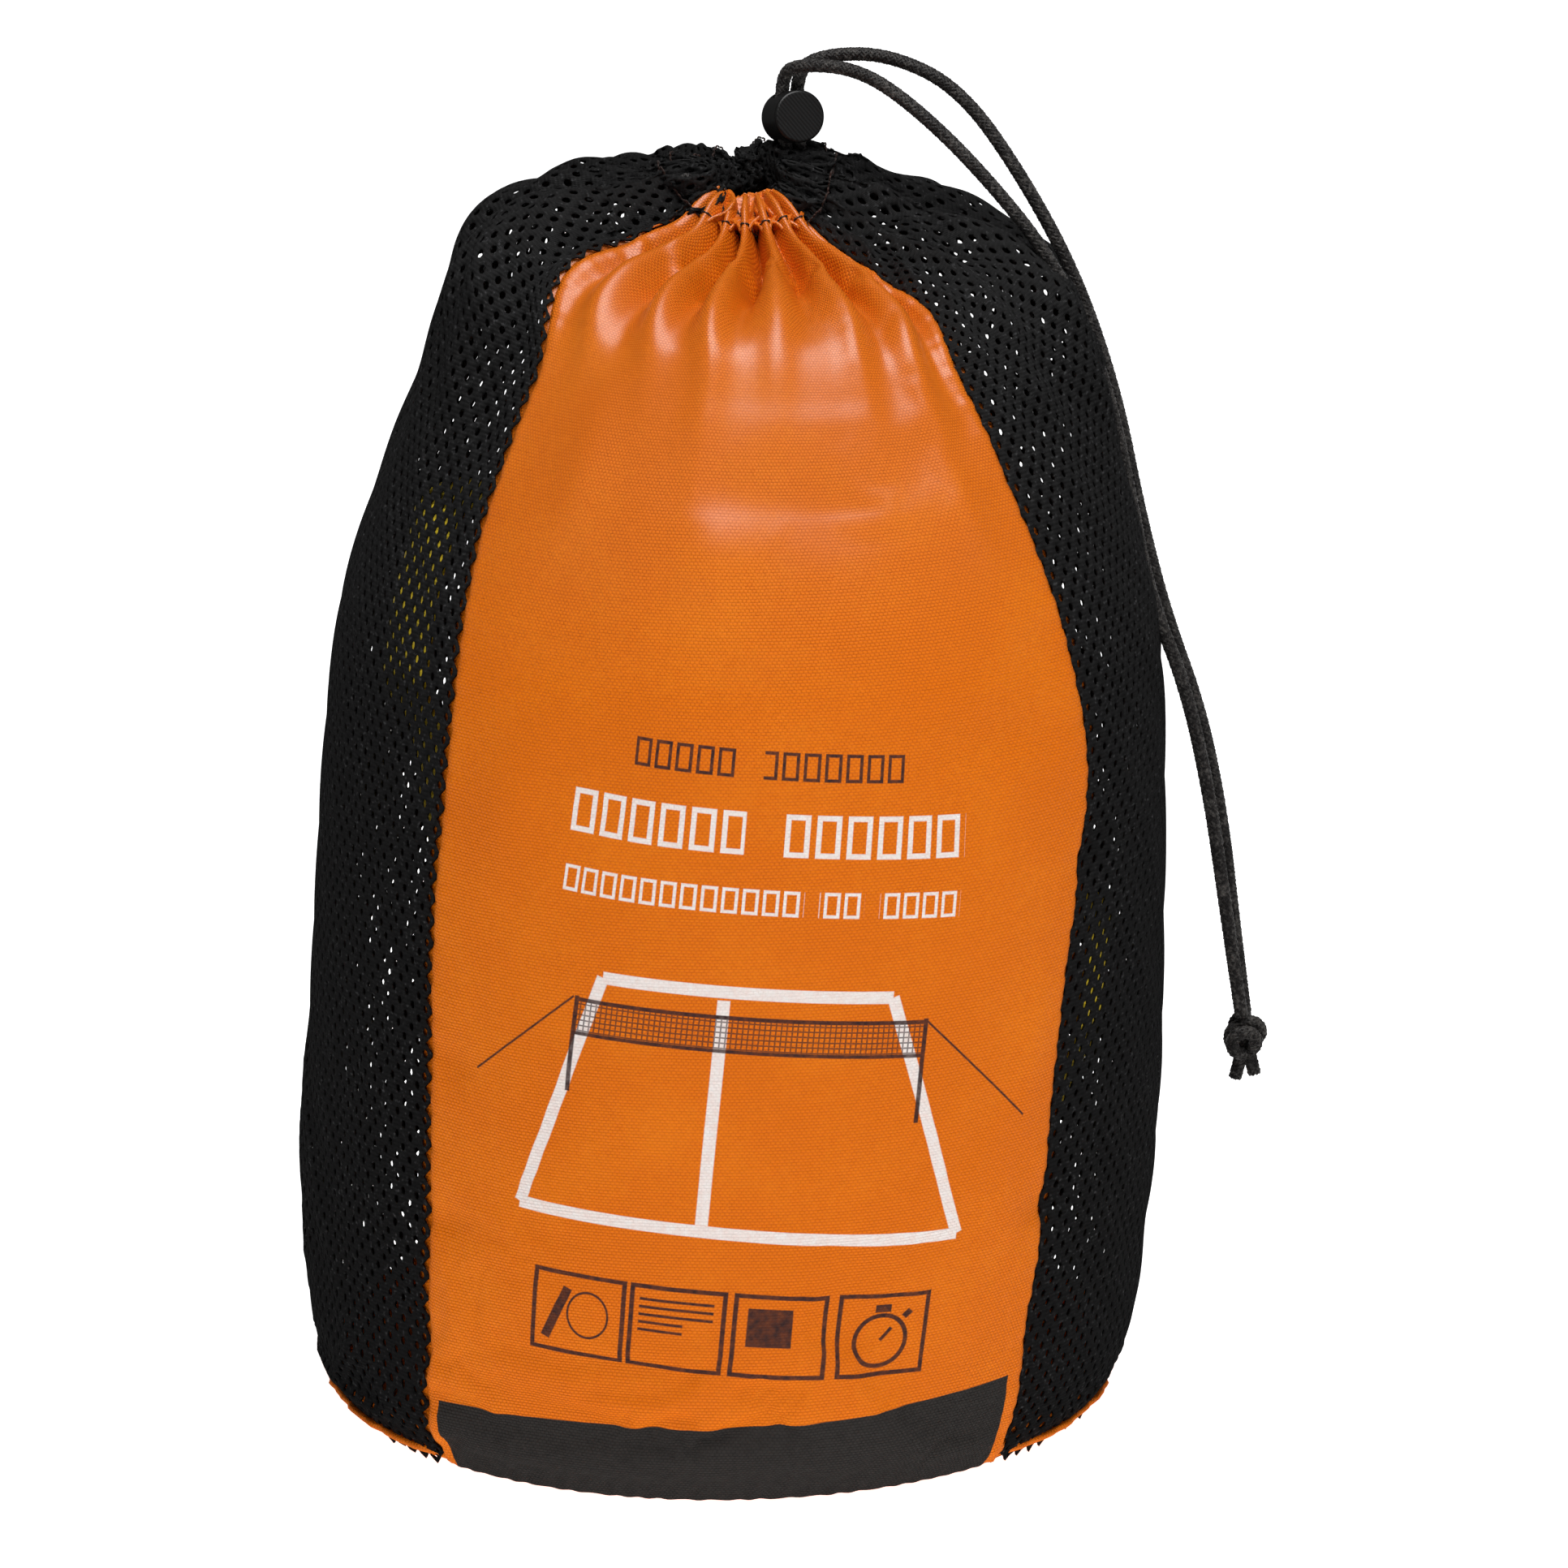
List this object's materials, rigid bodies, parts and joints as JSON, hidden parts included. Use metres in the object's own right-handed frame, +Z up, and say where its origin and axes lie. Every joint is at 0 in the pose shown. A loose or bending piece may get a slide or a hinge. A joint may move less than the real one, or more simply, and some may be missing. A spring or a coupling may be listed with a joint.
{
  "type": "mesh ball bag",
  "caption": "Gathered cylindrical bag with a woven front panel, knitted mesh sides and back, round base, drawcord mouth and a sprung cord lock.",
  "frame": {"origin": "centre of the base, on the surface that the bag stands on", "axes": "+Z up through the mouth, front panel faces -Y, +X to the right seen from the front"},
  "size_m": [0.2384, 0.208, 0.333],
  "materials": {
    "orange_cloth": "plain-woven polyester with a light sheen",
    "black_mesh": "open knitted mesh",
    "dark_thread": "twisted sewing thread",
    "braided_cord": "fine braid",
    "lock_plastic": "moulded, satin side and ribbed face",
    "spring_steel": "drawn wire",
    "yellow_webbing": "woven webbing"
  },
  "bodies": {
    "bag": {"front_panel": "orange_cloth", "front_hem": "orange_cloth", "base_panel": "orange_cloth", "left_seam_allowance": "orange_cloth", "right_seam_allowance": "orange_cloth", "base_seam_allowance": "orange_cloth", "mesh_body": "black_mesh", "mesh_hem": "black_mesh", "tunnel_thread": "dark_thread", "left_seam_thread": "dark_thread", "right_seam_thread": "dark_thread", "base_seam_thread": "dark_thread", "drawcord": "braided_cord", "cord_tail_a": "braided_cord", "cord_tail_b": "braided_cord", "end_knot": "braided_cord", "left_webbing_line": "yellow_webbing", "right_webbing_line": "yellow_webbing"},
    "lock": {"lock_barrel": "lock_plastic", "lock_spring": "spring_steel"},
    "plunger": {"lock_plunger": "lock_plastic"}
  },
  "joints": [
    {"name": "lock_slide", "type": "slide", "parent": "bag", "child": "lock", "axis": [-0.0867, 0.2259, 0.9703], "range_m": [-0.002, 0.001]},
    {"name": "plunger_press", "type": "slide", "parent": "lock", "child": "plunger", "axis": [0.3477, -0.9058, 0.2419], "range_m": [0, 0.0016], "stiffness_N_per_m": 900, "springref_m": -0.002, "deforming": ["lock_spring"]}
  ]
}
